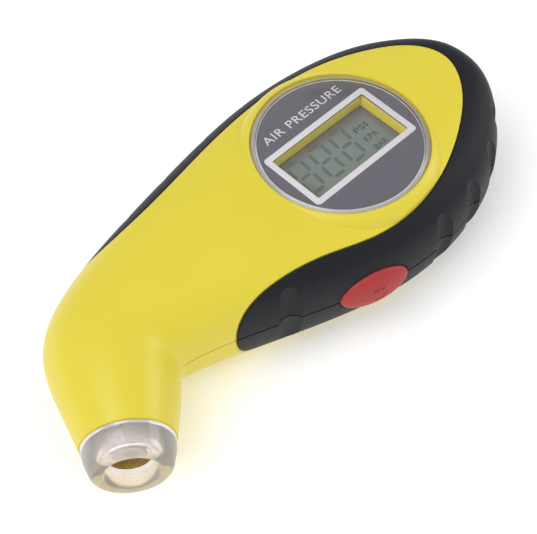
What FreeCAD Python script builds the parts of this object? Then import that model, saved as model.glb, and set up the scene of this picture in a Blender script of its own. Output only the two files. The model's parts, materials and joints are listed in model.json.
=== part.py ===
import FreeCAD, Part
import math
import os

import Sketcher
from FreeCAD import Matrix, Placement, Rotation, Vector

# Digital tyre pressure gauge: a hand-sized body of two moulded half shells that meet on a flat
# parting plane, with soft grips round the edge, a round display on top, a lit nozzle at the bent
# end, a push button in the near side and a coin-cell cap in the back.
#
# The design is drawn in the gauge frame: the display's axis is the Z axis, the parting plane is
# Z = 0, and +X runs along the body to the rounded head. The finished pieces are then moved so
# that the origin lies under the middle of the whole object, on the surface that it rests on.

SIZES = {
    # outline of the body, by cross-sections from the head to the nozzle
    "half_height": 13.4,
    "tip_x": 40.2,
    "tip_half_width": 6.6,
    "tip_fullness": 0.64,
    "shoulder_x": 31.2,
    "shoulder_half_width": 18.5,
    "shoulder_fullness": 0.78,
    "crown_x": 16.2,
    "crown_half_width": 25.0,
    "head_x": -3.8,
    "head_half_width": 27.0,
    "waist_x": -23.8,
    "waist_rise": 1.55,
    "waist_half_width": 22.3,
    "head_fullness": 0.77,
    "neck_x": -41.8,
    "neck_rise": 3.6,
    "neck_half_width": 16.8,
    "neck_fullness": 0.74,
    "elbow_x": -54.4,
    "elbow_half_width": 14.4,
    "elbow_fullness": 0.63,
    "elbow_turn": 9.6,
    "bend_x": -64.3,
    "bend_rise": 0.9,
    "bend_half_width": 14.7,
    "bend_half_height": 11.9,
    "bend_turn": 41.5,
    "nozzle_x": -72.9,
    "nozzle_y": -16.0,
    "nozzle_turn": 55.0,
    "nozzle_radius": 9.3,
    "nozzle_root_radius": 11.7,
    "nozzle_root_length": 9.5,
    "rest_flat": 0.3,
    # shells and grips
    "shell_wall": 3.0,
    "grip_thickness": 1.7,
    "grip_groove": 0.25,
    "parting_groove": 0.18,
    "flute_depth": 1.25,
    "flute_width": 5.0,
    "flute_height": 8.2,
    "flute_lean": 14.0,
    # display
    "dial_radius": 17.2,
    "dial_thickness": 0.25,
    "lens_sink": 0.1,
    "lens_skirt": 2.4,
    "lens_border": 1.15,
    "lens_radius": "=dial_radius + lens_border",
    "lens_bevel": 1.1,
    "lens_thickness": 0.8,
    "lens_clearance": 0.06,
    "bezel_land": 0.3,
    "bezel_reach": 2.3,
    "bezel_drop": 3.0,
    "window_length": 25.9,
    "window_width": 12.9,
    "window_depth": 2.6,
    "window_shift_x": -0.25,
    "window_shift_y": -0.3,
    "lcd_end_border": 2.05,
    "lcd_side_border": 2.25,
    "lcd_length": "=window_length + 2 * lcd_end_border",
    "lcd_width": "=window_width + 2 * lcd_side_border",
    "lcd_thickness": 1.8,
    "zebra_width": 2.0,
    "backlight_gap": 1.2,
    "backlight_thickness": 1.5,
    "backlight_width": "=lcd_width - 2 * zebra_width - 2 * backlight_gap",
    "holder_wall": 1.3,
    "display_clearance": 0.1,
    # circuit board
    "board_x": -2.0,
    "board_y": 0.5,
    "board_length": 47.0,
    "board_side_room": 10.0,
    "board_width": "=2 * head_half_width - 2 * board_side_room",
    "board_thickness": 1.2,
    "board_corner": 6.0,
    "board_screw_radius": 0.8,
    "board_screw_head": 1.6,
    "board_screw_head_height": 1.0,
    "board_screw_bite": 2.4,
    "board_screw_inset_nozzle": 4.0,
    "board_screw_inset_head": 2.9,
    "board_screw_inset_side": 6.0,
    "board_room": 0.4,
    "board_boss_radius": 2.2,
    "chip_radius": 5.5,
    "chip_height": 1.5,
    # button and switch
    "button_x": -13.9,
    "button_length": 15.6,
    "button_height": 9.2,
    "button_proud": 1.8,
    "button_travel": 0.6,
    "button_clearance": 0.2,
    "button_flange": 0.9,
    "button_rib": 2.4,
    "button_dome_base": 0.5,
    "button_neck": 1.4,
    "press_reserve": 0.4,
    "switch_width": 6.0,
    "switch_height": 3.4,
    "switch_depth": 3.6,
    "plunger_radius": 1.0,
    "plunger_clearance": 0.05,
    # coin cell and its cap
    "cell_radius": 10.0,
    "cell_height": 3.2,
    "cell_clearance": 0.3,
    "cap_ring": 2.3,
    "cap_radius": "=cell_radius + cell_clearance + cap_ring",
    "cap_plate": 1.5,
    "cap_recess": 0.3,
    "cap_clearance": 0.25,
    "cap_tab": 1.3,
    "cap_tab_height": 1.0,
    "cap_tab_angle": 22.0,
    "cap_turn": 60.0,
    "coin_slot_length": 15.0,
    "coin_slot_width": 1.9,
    "coin_slot_depth": 0.9,
    "cup_wall": 1.5,
    "contact_thickness": 0.3,
    # nozzle
    "nozzle_cap_length": 6.4,
    "nozzle_cap_tip_radius": "=nozzle_radius - 2.1",
    "nozzle_cap_neck": "=nozzle_radius - 1.8",
    "nozzle_cap_flange": "=nozzle_radius - 1.0",
    "flange_back": 6.0,
    "flange_front": 4.7,
    "stem_bore_radius": 4.1,
    "stem_bore_length": 5.9,
    "mouth_flare": 1.15,
    "mouth_radius": "=stem_bore_radius + mouth_flare",
    "mouth_depth": 2.95,
    "sleeve_wall": 0.7,
    "sleeve_radius": "=stem_bore_radius + sleeve_wall",
    "seal_step": 0.3,
    "seal_thickness": 1.8,
    "seal_radius": "=stem_bore_radius + seal_step",
    "seal_hole_radius": 1.3,
    "seal_lip": 0.9,
    "sleeve_tail": 3.6,
    "barb_length": 4.0,
    "barb_radius": 1.4,
    "air_hole_radius": 0.6,
    "depressor_radius": 0.8,
    "depressor_disc": 0.6,
    "led_back": 11.0,
    "led_radius": 1.5,
    "led_clearance": 0.2,
    "led_offset": "=sleeve_radius + led_radius + led_clearance",
    # air line and sensor
    "tube_radius": 2.2,
    "sensor_size": 8.0,
    "sensor_height": 4.6,
    "sensor_nipple": 4.2,
    "lead_radius": 0.4,
    # housing screws
    "screw_radius": 1.1,
    "screw_head_radius": 2.2,
    "screw_head_height": 1.5,
    "screw_boss_radius": 3.0,
    "screw_head_depth": 6.0,
    "screw_reach": 6.0,
    "screw_tip_room": 0.5,
    "screw_head_room": 0.3,
}

doc = FreeCAD.newDocument("tyre_gauge")
sheet = doc.addObject("Spreadsheet::Sheet", "Sizes")
for row, (alias, entry) in enumerate(SIZES.items(), start=1):
    sheet.set(f"A{row}", alias)
    sheet.set(f"B{row}", str(entry))
    sheet.setAlias(f"B{row}", alias)
doc.recompute()


class Size:
    """A number together with the spreadsheet expression that gives it."""

    def __init__(self, value, text):
        self.value = value
        self.text = text

    def combine(self, other, sign, result, swap=False):
        text = other.text if isinstance(other, Size) else repr(float(other))
        left, right = (text, self.text) if swap else (self.text, text)
        return Size(result, f"({left} {sign} {right})")

    def __add__(self, other):
        return self.combine(other, "+", self.value + number(other))

    def __sub__(self, other):
        return self.combine(other, "-", self.value - number(other))

    def __rsub__(self, other):
        return self.combine(other, "-", number(other) - self.value, swap=True)

    def __mul__(self, other):
        return self.combine(other, "*", self.value * number(other))

    def __truediv__(self, other):
        return self.combine(other, "/", self.value / number(other))

    def __neg__(self):
        return Size(-self.value, f"(0 - {self.text})")

    __radd__ = __add__
    __rmul__ = __mul__


def number(size):
    """The plain number of a Size or of a number."""
    return size.value if isinstance(size, Size) else float(size)


def size(alias):
    """One driving dimension, read from the sheet."""
    return Size(float(sheet.get(alias)), f"Sizes.{alias}")


def mm(alias):
    """The plain number of one driving dimension."""
    return float(sheet.get(alias))


# ---------------------------------------------------------------- helpers for the pieces

REACH = 100.0       # longer than the whole object's width, for cutting right through it
pieces = {}


def keep(name, item, place=None):
    """Label a finished piece and put it at its place in the gauge frame."""
    item.Label = name
    if place is not None:
        item.Placement = place
    pieces[name] = item
    return item


def solid_piece(name, shape, place=None):
    """A piece whose shape comes from surface work rather than from one sketch."""
    item = doc.addObject("Part::Feature", name)
    item.Shape = shape
    return keep(name, item, place)


def origin_plane(body, role):
    for feature in body.Origin.OriginFeatures:
        if feature.Role == role:
            return feature
    raise ValueError(role)


def place_constraint(sketch, kind, geometry, point, distance):
    """Hold one point of the sketch at a distance from the origin that follows the sheet."""
    value = number(distance)
    if abs(value) < 1e-9:
        axis = -2 if kind == "DistanceX" else -1
        sketch.addConstraint(Sketcher.Constraint("PointOnObject", geometry, point, axis))
        return
    if value > 0:
        ends = (-1, 1, geometry, point)
        text = distance.text if isinstance(distance, Size) else None
    else:
        ends = (geometry, point, -1, 1)
        text = (-distance).text if isinstance(distance, Size) else None
    index = sketch.addConstraint(Sketcher.Constraint(kind, *ends, abs(value)))
    if text is not None:
        sketch.setExpression(f"Constraints[{index}]", text)


def polygon_sketch(body, name, role, points):
    """A closed outline of straight lines whose corners are bound to the sheet."""
    sketch = body.newObject("Sketcher::SketchObject", name)
    sketch.AttachmentSupport = (origin_plane(body, role), [""])
    sketch.MapMode = "FlatFace"
    corners = [Vector(number(x), number(y), 0) for x, y in points]
    for start, end in zip(corners, corners[1:] + corners[:1]):
        sketch.addGeometry(Part.LineSegment(start, end))
    count = len(points)
    for index in range(count):
        after = (index + 1) % count
        sketch.addConstraint(Sketcher.Constraint("Coincident", index, 2, after, 1))
    for index, (x, y) in enumerate(points):
        place_constraint(sketch, "DistanceX", index, 1, x)
        place_constraint(sketch, "DistanceY", index, 1, y)
    return sketch


def circle_sketch(body, name, role, circles):
    """Circles given as (x, y, radius), bound to the sheet."""
    sketch = body.newObject("Sketcher::SketchObject", name)
    sketch.AttachmentSupport = (origin_plane(body, role), [""])
    sketch.MapMode = "FlatFace"
    for index, (x, y, radius) in enumerate(circles):
        centre = Vector(number(x), number(y), 0)
        sketch.addGeometry(Part.Circle(centre, Vector(0, 0, 1), number(radius)))
        round_size = sketch.addConstraint(Sketcher.Constraint("Radius", index, number(radius)))
        if isinstance(radius, Size):
            sketch.setExpression(f"Constraints[{round_size}]", radius.text)
        place_constraint(sketch, "DistanceX", index, 3, x)
        place_constraint(sketch, "DistanceY", index, 3, y)
    return sketch


def bind(feature, prop, amount):
    setattr(feature, prop, number(amount))
    if isinstance(amount, Size):
        feature.setExpression(prop, amount.text)


def turned(name, points, place=None):
    """A round piece: a profile of (radius, height) turned about its own Z axis."""
    body = doc.addObject("PartDesign::Body", name)
    sketch = polygon_sketch(body, f"{name}_profile", "XZ_Plane", points)
    turn = body.newObject("PartDesign::Revolution", f"{name}_turn")
    turn.Profile = sketch
    turn.ReferenceAxis = (sketch, ["V_Axis"])
    turn.Angle = 360
    return keep(name, body, place)


def pad(body, sketch, name, height):
    feature = body.newObject("PartDesign::Pad", name)
    feature.Profile = sketch
    bind(feature, "Length", height)
    return feature


def pocket(body, sketch, name):
    """A cut right through the body, both ways from the sketch."""
    feature = body.newObject("PartDesign::Pocket", name)
    feature.Profile = sketch
    feature.Length = REACH
    feature.Midplane = True
    return feature


def block(name, length, width, height, place=None):
    """A plate centred on its own origin in plan, standing on its own XY plane."""
    body = doc.addObject("PartDesign::Body", name)
    outline = [(-length / 2, -width / 2), (length / 2, -width / 2),
               (length / 2, width / 2), (-length / 2, width / 2)]
    sketch = polygon_sketch(body, f"{name}_outline", "XY_Plane", outline)
    pad(body, sketch, f"{name}_pad", height)
    return keep(name, body, place)


def at(x, y, z, rotation=None):
    return Placement(Vector(x, y, z), rotation or Rotation())


def cylinder(radius, height, x, y, z):
    return Part.makeCylinder(radius, height, Vector(x, y, z))


def box(length, width, height, x, y, z):
    """A box centred in plan on x and y, standing on z."""
    return Part.makeBox(length, width, height, Vector(x - length / 2, y - width / 2, z))


# ---------------------------------------------------------------- body surface

HALF_CIRCLE = 4 * (math.sqrt(2) - 1) / 3      # fullness that makes an arch a half circle


def stations(inset=0.0):
    """Cross-sections from the head's tip to the nozzle: centre, turn, half width and height.

    An inset moves the whole surface inwards by about that distance, for the inside of a wall.
    """
    nozzle_turn = mm("nozzle_turn")
    root = Vector(mm("nozzle_x"), mm("nozzle_y"), 0) + nozzle_direction() * -mm("nozzle_root_length")
    height = mm("half_height")
    full = mm("head_fullness")
    tip = mm("tip_x")
    rows = [
        (tip, 0, 0, inset, inset, mm("tip_fullness")),
        (tip, 0, 0, mm("tip_half_width"), height, mm("tip_fullness")),
        (mm("shoulder_x"), 0, 0, mm("shoulder_half_width"), height, mm("shoulder_fullness")),
        (mm("crown_x"), 0, 0, mm("crown_half_width"), height, full),
        (mm("head_x"), 0, 0, mm("head_half_width"), height, full),
        (mm("waist_x"), mm("waist_rise"), 0, mm("waist_half_width"), height, full),
        (mm("neck_x"), mm("neck_rise"), 0, mm("neck_half_width"), height, mm("neck_fullness")),
        (mm("elbow_x"), mm("neck_rise"), mm("elbow_turn"), mm("elbow_half_width"), height,
         mm("elbow_fullness")),
        (mm("bend_x"), mm("bend_rise"), mm("bend_turn"), mm("bend_half_width"),
         mm("bend_half_height"), HALF_CIRCLE),
        (root.x, root.y, nozzle_turn, mm("nozzle_root_radius"), mm("nozzle_root_radius"),
         HALF_CIRCLE),
        (mm("nozzle_x"), mm("nozzle_y"), nozzle_turn, mm("nozzle_radius"), mm("nozzle_radius"),
         HALF_CIRCLE),
    ]
    moved = []
    for x, y, turn, wide, high, fullness in rows:
        shift = inset if x == tip else 0.0
        moved.append((x - shift, y, turn, max(wide - inset, 0.0), max(high - inset, 0.0), fullness))
    return moved


def nozzle_direction():
    """Unit vector along the nozzle, out of its mouth."""
    angle = math.radians(mm("nozzle_turn"))
    return Vector(-math.cos(angle), -math.sin(angle), 0)


def arch(station, side, way):
    """Four poles of a quarter section, from the parting plane (side) to the crown."""
    x, y, turn, wide, high, full = station
    angle = math.radians(turn)
    across = Vector(-math.sin(angle), math.cos(angle), 0) * side
    up = Vector(0, 0, way)
    centre = Vector(x, y, 0)
    return [
        centre + across * wide,
        centre + across * wide + up * (high * full),
        centre + across * (wide * full) + up * high,
        centre + up * high,
    ]


def quarter_face(rows, side, way):
    """The smooth face of one side of one half of the body."""
    poles = [arch(row, side, way) for row in rows]
    inner = len(rows) - 4
    surface = Part.BSplineSurface()
    surface.buildFromPolesMultsKnots(
        poles, [4] + [1] * inner + [4], [4, 4], list(range(inner + 2)), [0, 1], False, False, 3, 3)
    return surface


def half_solid(inset, way):
    """One half of the body, above (way 1) or below (way -1) the parting plane."""
    rows = stations(inset)
    near = quarter_face(rows, -1, way)
    far = quarter_face(rows, 1, way)
    near_rim = near.vIso(0).toShape()
    far_rim = far.vIso(0).toShape()
    last = rows[-1]
    near_end = near.uIso(len(rows) - 3).toShape()
    far_end = far.uIso(len(rows) - 3).toShape()
    across = Part.makeLine(arch(last, -1, way)[0], arch(last, 1, way)[0])
    floor = Part.Face(Part.Wire(Part.__sortEdges__([near_rim, far_rim, across])))
    end = Part.Face(Part.Wire(Part.__sortEdges__([near_end, far_end, across])))
    shell = Part.makeShell([near.toShape(), far.toShape(), floor, end])
    shell.sewShape()
    solid = Part.makeSolid(shell)
    if solid.Volume < 0:
        solid.reverse()
    return solid


# ---------------------------------------------------------------- levels and frames

# heights on the display's axis, from the lens down to the underside of the board
lens_top = size("half_height") - size("lens_sink")
dial_top = lens_top - size("lens_thickness")
seat_top = dial_top - size("dial_thickness")
seat_floor = lens_top - size("lens_skirt")
window_foot = seat_top - size("window_depth")
lcd_top = window_foot - size("display_clearance")
lcd_foot = lcd_top - size("lcd_thickness")
board_top = lcd_foot - size("backlight_thickness")
board_foot = board_top - size("board_thickness")

# heights on the same axis, from the rest plane up to the floor of the cell's cup
rest_plane = -mm("half_height") + mm("rest_flat")
cap_face = rest_plane + mm("cap_recess")
cap_inside = cap_face + mm("cap_plate")
lip_top = cap_inside + mm("display_clearance")
tab_top = lip_top + mm("display_clearance") + mm("cap_tab_height")
groove_top = tab_top + mm("display_clearance")
cell_foot = cap_inside + mm("display_clearance")
cell_top = cell_foot + mm("cell_height")
cup_floor = cell_top + mm("contact_thickness")
cup_top = cup_floor + mm("cup_wall")

def nozzle_place(along=0.0, up=0.0):
    """A frame on the nozzle's axis whose Z axis points out of the mouth."""
    direction = nozzle_direction()
    point = Vector(mm("nozzle_x"), mm("nozzle_y"), 0) + direction * along
    upright = Vector(0, 0, 1)
    turn = Rotation(upright.cross(direction), upright, direction, "ZYX")
    return Placement(point + upright * up, turn)


def nozzle_cylinder(radius, start, end):
    """A cutter on the nozzle's axis, between two distances from the housing's end face."""
    tool = Part.makeCylinder(radius, end - start)
    tool.Placement = nozzle_place(start)
    return tool


outline = {side: quarter_face(stations(), side, 1).vIso(0) for side in (-1, 1)}


def rim_parameter(side, x):
    """Where the body's outline on the parting plane reaches a given x, by halving."""
    curve = outline[side]
    low = 0.0
    high = 7.0
    for _ in range(40):
        middle = (low + high) / 2
        if curve.value(middle).x > x:
            low = middle
        else:
            high = middle
    return low


def rim_frame(side, x):
    """A frame on the outline: X along the rim, Y up, Z straight out of the side."""
    curve = outline[side]
    place = rim_parameter(side, x)
    along = curve.tangent(place)[0]
    if along.x < 0:
        along = along * -1
    along = along * -side
    upright = Vector(0, 0, 1)
    outwards = along.cross(upright)
    return Placement(curve.value(place), Rotation(along, upright, outwards, "ZYX"))


def oval(length, height, low, high, place):
    """An elliptical prism between two heights of a frame."""
    rim = Part.Ellipse(Vector(0, 0, low), length / 2, height / 2).toShape()
    prism = Part.Face(Part.Wire(rim)).extrude(Vector(0, 0, high - low))
    prism.Placement = place
    return prism


# ---------------------------------------------------------------- yellow panel and grips

# The line between the hard panel and the soft grip, seen in plan. On the sides it keeps a
# margin from the outline, given as (x, margin), and round the head it is set back from the tip.
FAR_MARGIN = [(-55.0, 1.5), (-46.0, 4.2), (-36.0, 5.1), (-22.0, 5.1), (-8.0, 5.0), (3.0, 5.0),
              (14.0, 5.6), (23.0, 7.1)]
TIP_SET_BACK = [(9.7, 8.0), (7.6, 1.0), (10.5, -6.0)]
NEAR_MARGIN = [(22.0, 9.3), (12.0, 7.0), (0.0, 5.3), (-11.0, 4.9), (-21.0, 5.2), (-31.0, 3.9),
               (-42.5, 0.1)]


def panel_prism(grow=0.0):
    """The plan area that the hard panel covers, as a prism through both halves."""
    points = []
    for x, margin in FAR_MARGIN:
        points.append(outline[1].value(rim_parameter(1, x)) - Vector(0, margin - grow, 0))
    for back, y in TIP_SET_BACK:
        points.append(Vector(mm("tip_x") - back + grow, y, 0))
    for x, margin in NEAR_MARGIN:
        points.append(outline[-1].value(rim_parameter(-1, x)) + Vector(0, margin - grow, 0))
    far_exit = points[0] + Vector(-7, 5, 0)
    near_exit = points[-1] + Vector(-7, -2, 0)
    line = Part.BSplineCurve()
    line.interpolate([far_exit] + points + [near_exit])
    corners = [near_exit, Vector(near_exit.x, -REACH, 0), Vector(-REACH, -REACH, 0),
               Vector(-REACH, REACH, 0), Vector(far_exit.x, REACH, 0), far_exit]
    edges = [line.toShape()]
    for start, end in zip(corners, corners[1:]):
        edges.append(Part.makeLine(start, end))
    face = Part.Face(Part.Wire(edges))
    face.translate(Vector(0, 0, -REACH / 2))
    round_lens = mm("lens_radius") + mm("lens_clearance") + mm("bezel_land") + grow
    return face.extrude(Vector(0, 0, REACH)).fuse(cylinder(round_lens, REACH / 4, 0, 0, 0))


def flutes(way):
    """Cutters for the leaf-shaped finger flutes, deepest on the parting plane.

    The side of the body leans in above the rim, by the flute lean, so the cutters lean with it.
    """
    depth = mm("flute_depth")
    half_width = mm("flute_width") / 2
    radius = (half_width ** 2 + depth ** 2) / (2 * depth)
    lean = math.degrees(math.atan(depth / mm("flute_height")))
    tools = []
    for side, places in ((-1, NEAR_FLUTES), (1, FAR_FLUTES)):
        for x in places:
            frame = rim_frame(side, x)
            tool = Part.makeCylinder(radius, REACH / 2, Vector(0, 0, -REACH / 4))
            stand = Placement(Vector(), Rotation(Vector(1, 0, 0), -90))
            tip = Placement(Vector(), Rotation(Vector(1, 0, 0), way * (lean - mm("flute_lean"))))
            out = Placement(Vector(0, 0, radius - depth), Rotation())
            tool.Placement = frame * out * tip * stand
            tools.append(tool)
    return tools


NEAR_FLUTES = [-31.5, 4.4, 15.0, 25.2, 33.2]
FAR_FLUTES = [-42.0, -30.0, -17.0, -4.0, 9.0, 21.0, 31.0]

button_frame = rim_frame(-1, mm("button_x"))
prism = panel_prism()
prism_wide = panel_prism(mm("grip_groove"))

# depths behind the rim, along the button's own axis
wall = mm("shell_wall")
gap = mm("button_clearance")
flange_front = -wall - 1.5 * gap
flange_back = flange_front - mm("button_flange")
flange_margin = 2 * mm("button_flange")
plunger_tip = flange_back - mm("button_neck")
switch_face = plunger_tip - mm("button_travel") - mm("press_reserve")
switch_level = number(board_foot) - mm("switch_height") / 2
rib = mm("button_rib")


def button_hole():
    """The way through the wall for the button, with a wider seat for its flange and rib."""
    length = mm("button_length")
    height = mm("button_height")
    hole = oval(length + 2 * gap, height + 2 * gap, -REACH / 8, REACH / 8, button_frame)
    seat = oval(length + flange_margin + 4 * gap, height + flange_margin + 4 * gap,
                -REACH / 8, flange_front + gap, button_frame)
    tall = switch_level + rib / 2 + 2 * gap
    deep = flange_front + gap - switch_face + 5 * gap
    notch = Part.makeBox(rib + 4 * gap, tall, deep,
                         Vector(-rib / 2 - 2 * gap, 0, switch_face - 5 * gap))
    notch.Placement = button_frame
    return [hole, seat, notch]


def half_shell(way):
    """One hard half shell with its hollow, and the room that it has inside the grip."""
    outer = half_solid(0, way)
    under_grip = half_solid(mm("grip_thickness"), way)
    within = outer.cut(outer.cut(under_grip).cut(prism))
    nozzle_end = nozzle_cylinder(REACH, -mm("flange_back") - wall, REACH)
    hollow = half_solid(wall, way).cut(nozzle_end)
    return within.cut(hollow), within, hollow


def grip(way):
    """One soft grip: the skin outside the panel, with flutes and the button's hole."""
    skin = half_solid(0, way).cut(half_solid(mm("grip_thickness"), way)).cut(prism_wide)
    slit = box(2 * REACH, 2 * REACH, 2 * mm("parting_groove"), 0, 0, -mm("parting_groove"))
    skin = skin.cut([slit, below_rest()])
    for cutter in flutes(way) + button_hole()[:1]:
        skin = skin.cut(cutter)
    return skin.Solids[0]


def below_rest():
    """Everything under the plane that the gauge rests on."""
    return box(2 * REACH, 2 * REACH, REACH, 0, 0, rest_plane - REACH)


NOZZLE_FIT = 0.1


def nozzle_seats():
    """Room for the clear cap's neck and flange and for the sleeve behind them."""
    seat = -mm("flange_front") + NOZZLE_FIT
    neck = nozzle_cylinder(mm("nozzle_cap_neck"), seat - 4 * NOZZLE_FIT, REACH / 4)
    flange = nozzle_cylinder(mm("nozzle_cap_flange"), -mm("flange_back") - 4.0, seat)
    return [neck, flange]


# ---------------------------------------------------------------- screws that close the body

HEAD_SCREWS = [(25.5, 6.5), (25.5, -6.5)]
NECK_SCREWS = [(-38.0, 12.2), (-38.0, -5.8)]
HOUSING_SCREWS = HEAD_SCREWS + NECK_SCREWS
board_screw_side = mm("board_width") / 2 - mm("board_screw_inset_side")
BOARD_SCREWS = []
for end in (mm("board_screw_inset_nozzle") - mm("board_length") / 2,
            mm("board_length") / 2 - mm("board_screw_inset_head")):
    for across in (board_screw_side, -board_screw_side):
        BOARD_SCREWS.append((mm("board_x") + end, mm("board_y") + across))

screw_seat = -mm("screw_head_depth")
screw_tip = mm("screw_reach")


def bezel():
    """The raised round rim that brings the panel level with the lens all the way round."""
    top = mm("half_height")
    land = mm("lens_radius") + mm("lens_clearance") + mm("bezel_land")
    reach = land + mm("bezel_reach")
    foot = top - mm("bezel_drop")
    shoulder = Vector(land + 0.62 * mm("bezel_reach"), 0, top - 0.34 * mm("bezel_drop"))
    rounding = Part.Arc(Vector(land, 0, top), shoulder, Vector(reach, 0, foot)).toShape()
    corners = [Vector(reach, 0, foot), Vector(reach, 0, number(window_foot)),
               Vector(0, 0, number(window_foot)), Vector(0, 0, top), Vector(land, 0, top)]
    edges = [rounding] + [Part.makeLine(a, b) for a, b in zip(corners, corners[1:])]
    return Part.Face(Part.Wire(edges)).revolve(Vector(), Vector(0, 0, 1), 360)


def front_housing():
    """The half shell that carries the display, the board and the screws' blind bosses."""
    shell, within, hollow = half_shell(1)
    window_x = mm("window_shift_x")
    window_y = mm("window_shift_y")
    seat = cylinder(mm("lens_radius") + mm("cup_wall"), REACH, 0, 0, number(window_foot))
    seat = seat.common(within)
    pedestal = cylinder(mm("dial_radius"), number(seat_top - window_foot), 0, 0, number(window_foot))
    posts = [cylinder(mm("screw_boss_radius"), REACH, x, y, 0) for x, y in HOUSING_SCREWS]
    posts += [cylinder(mm("board_boss_radius"), REACH, x, y, number(board_top))
              for x, y in BOARD_SCREWS]
    posts = [post.common(hollow) for post in posts]
    solid = shell.fuse([seat, pedestal, bezel().common(prism)] + posts)
    ring = cylinder(mm("lens_radius") + mm("lens_clearance"), REACH, 0, 0, number(seat_floor))
    ring = ring.cut(cylinder(mm("dial_radius"), REACH, 0, 0, number(seat_floor)))
    above = cylinder(mm("dial_radius") + 1, REACH, 0, 0, number(seat_top))
    window = box(mm("window_length"), mm("window_width"), REACH, window_x, window_y, 0)
    room = 2 * mm("board_room")
    board_room = box(mm("board_length") + room, mm("board_width") + room,
                     number(board_top), mm("board_x"), mm("board_y"), 0)
    board_room = board_room.makeFillet(mm("board_corner"), upright_edges(board_room))
    tip_room = mm("screw_tip_room")
    holes = [cylinder(mm("screw_radius"), screw_tip + tip_room, x, y, 0)
             for x, y in HOUSING_SCREWS]
    holes += [cylinder(mm("board_screw_radius"), mm("board_screw_bite") + 2 * tip_room, x, y,
                       number(board_top) - tip_room) for x, y in BOARD_SCREWS]
    board_room = board_room.cut(posts[:len(HOUSING_SCREWS)])
    cutters = [ring, above, window, board_room] + holes + nozzle_seats() + button_hole()
    return solid.cut(cutters).removeSplitter()


def upright_edges(shape):
    return [edge for edge in shape.Edges if abs(edge.tangentAt(edge.FirstParameter).z) > 0.9]


def rear_housing():
    """The half shell with the cell's cup, the bayonet lip and the screws' counterbores."""
    shell, within, hollow = half_shell(-1)
    tab_radius = mm("cap_radius") + mm("cap_tab")
    clear = mm("cap_clearance")
    cup_radius = tab_radius + clear + mm("cup_wall")
    cup = cylinder(cup_radius, REACH, 0, 0, cup_top - REACH).common(within)
    posts = [cylinder(mm("screw_boss_radius"), REACH, x, y, -REACH).common(hollow)
             for x, y in HOUSING_SCREWS]
    solid = shell.fuse([cup] + posts)
    mouth = cylinder(mm("cap_radius") + clear, REACH, 0, 0, lip_top - REACH)
    groove = cylinder(tab_radius + clear, groove_top - lip_top, 0, 0, lip_top)
    pocket_room = cylinder(mm("cell_radius") + mm("cell_clearance"), cup_floor - groove_top,
                           0, 0, groove_top)
    entries = [sector(tab_radius + clear, mm("cap_tab_angle") + 5,
                      angle + mm("cap_turn"), lip_top - REACH, REACH) for angle in TAB_ANGLES]
    holes = []
    for x, y in HOUSING_SCREWS:
        holes.append(cylinder(mm("screw_radius"), REACH, x, y, -REACH))
        counterbore = mm("screw_head_radius") + mm("screw_head_room")
        holes.append(cylinder(counterbore, REACH, x, y, screw_seat - REACH))
    cutters = [mouth, groove, pocket_room, below_rest()] + entries + holes
    cutters += contact_slots() + nozzle_seats() + button_hole()
    return solid.cut(cutters).removeSplitter()


TAB_ANGLES = [0, 120, 240]


def sector(radius, width, middle, low, height):
    """A wedge of a disc, for a bayonet tab or for the notch that it enters by."""
    wedge = Part.makeCylinder(radius, height, Vector(0, 0, low), Vector(0, 0, 1), width)
    wedge.rotate(Vector(), Vector(0, 0, 1), middle - width / 2)
    return wedge


CONTACT_WIDTH = 3.0
MINUS_LEG_X = 7.0


def plus_plate_x():
    return -mm("cell_radius") - mm("cell_clearance")


def contact_slots():
    """Slots in the cup for the two battery contacts."""
    slack = mm("contact_thickness")
    plus = box(2 * slack, CONTACT_WIDTH + 2 * slack, REACH,
               plus_plate_x() - slack, 0, groove_top)
    minus = box(3 * slack, CONTACT_WIDTH + 2 * slack, REACH, MINUS_LEG_X, 0, cup_floor - 0.1)
    return [plus, minus]


solid_piece("front_housing", front_housing())
solid_piece("rear_housing", rear_housing())
solid_piece("front_grip", grip(1))
solid_piece("rear_grip", grip(-1))

# ---------------------------------------------------------------- display

# clear round lens with a bevelled edge and a skirt that sits in the housing's ring groove
bevel = size("lens_bevel")
skirt_inside = size("dial_radius") + size("lens_clearance")
turned("lens", [
    (0, dial_top), (skirt_inside, dial_top), (skirt_inside, seat_floor),
    (size("lens_radius"), seat_floor), (size("lens_radius"), lens_top - bevel * 0.45),
    (size("lens_radius") - bevel, lens_top), (0, lens_top)])

# printed dial foil with the display's window
dial = doc.addObject("PartDesign::Body", "dial_plate")
dial_outline = circle_sketch(dial, "dial_outline", "XY_Plane", [(0, 0, size("dial_radius"))])
pad(dial, dial_outline, "dial_pad", size("dial_thickness"))
half_window = size("window_length") / 2
half_height_window = size("window_width") / 2
shift_x = size("window_shift_x")
shift_y = size("window_shift_y")
window_outline = polygon_sketch(dial, "dial_window", "XY_Plane", [
    (shift_x - half_window, shift_y - half_height_window),
    (shift_x + half_window, shift_y - half_height_window),
    (shift_x + half_window, shift_y + half_height_window),
    (shift_x - half_window, shift_y + half_height_window)])
pocket(dial, window_outline, "dial_window_cut")
keep("dial_plate", dial, at(0, 0, number(seat_top)))

display_x = mm("window_shift_x")
display_y = mm("window_shift_y")


def on_display(level):
    return at(display_x, display_y, number(level))


block("lcd_panel", size("lcd_length"), size("lcd_width"), size("lcd_thickness"),
      on_display(lcd_foot))
block("backlight_panel", size("lcd_length") - 0.6, size("backlight_width"),
      size("backlight_thickness"), on_display(board_top))

# the two rubber connector strips that join the display's edges to the board
strip_y = (mm("lcd_width") - mm("zebra_width")) / 2
for name, side in (("zebra_strip_far", 1), ("zebra_strip_near", -1)):
    block(name, size("lcd_length") - 1.0, size("zebra_width"), size("backlight_thickness"),
          at(display_x, display_y + side * strip_y, number(board_top)))

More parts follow.
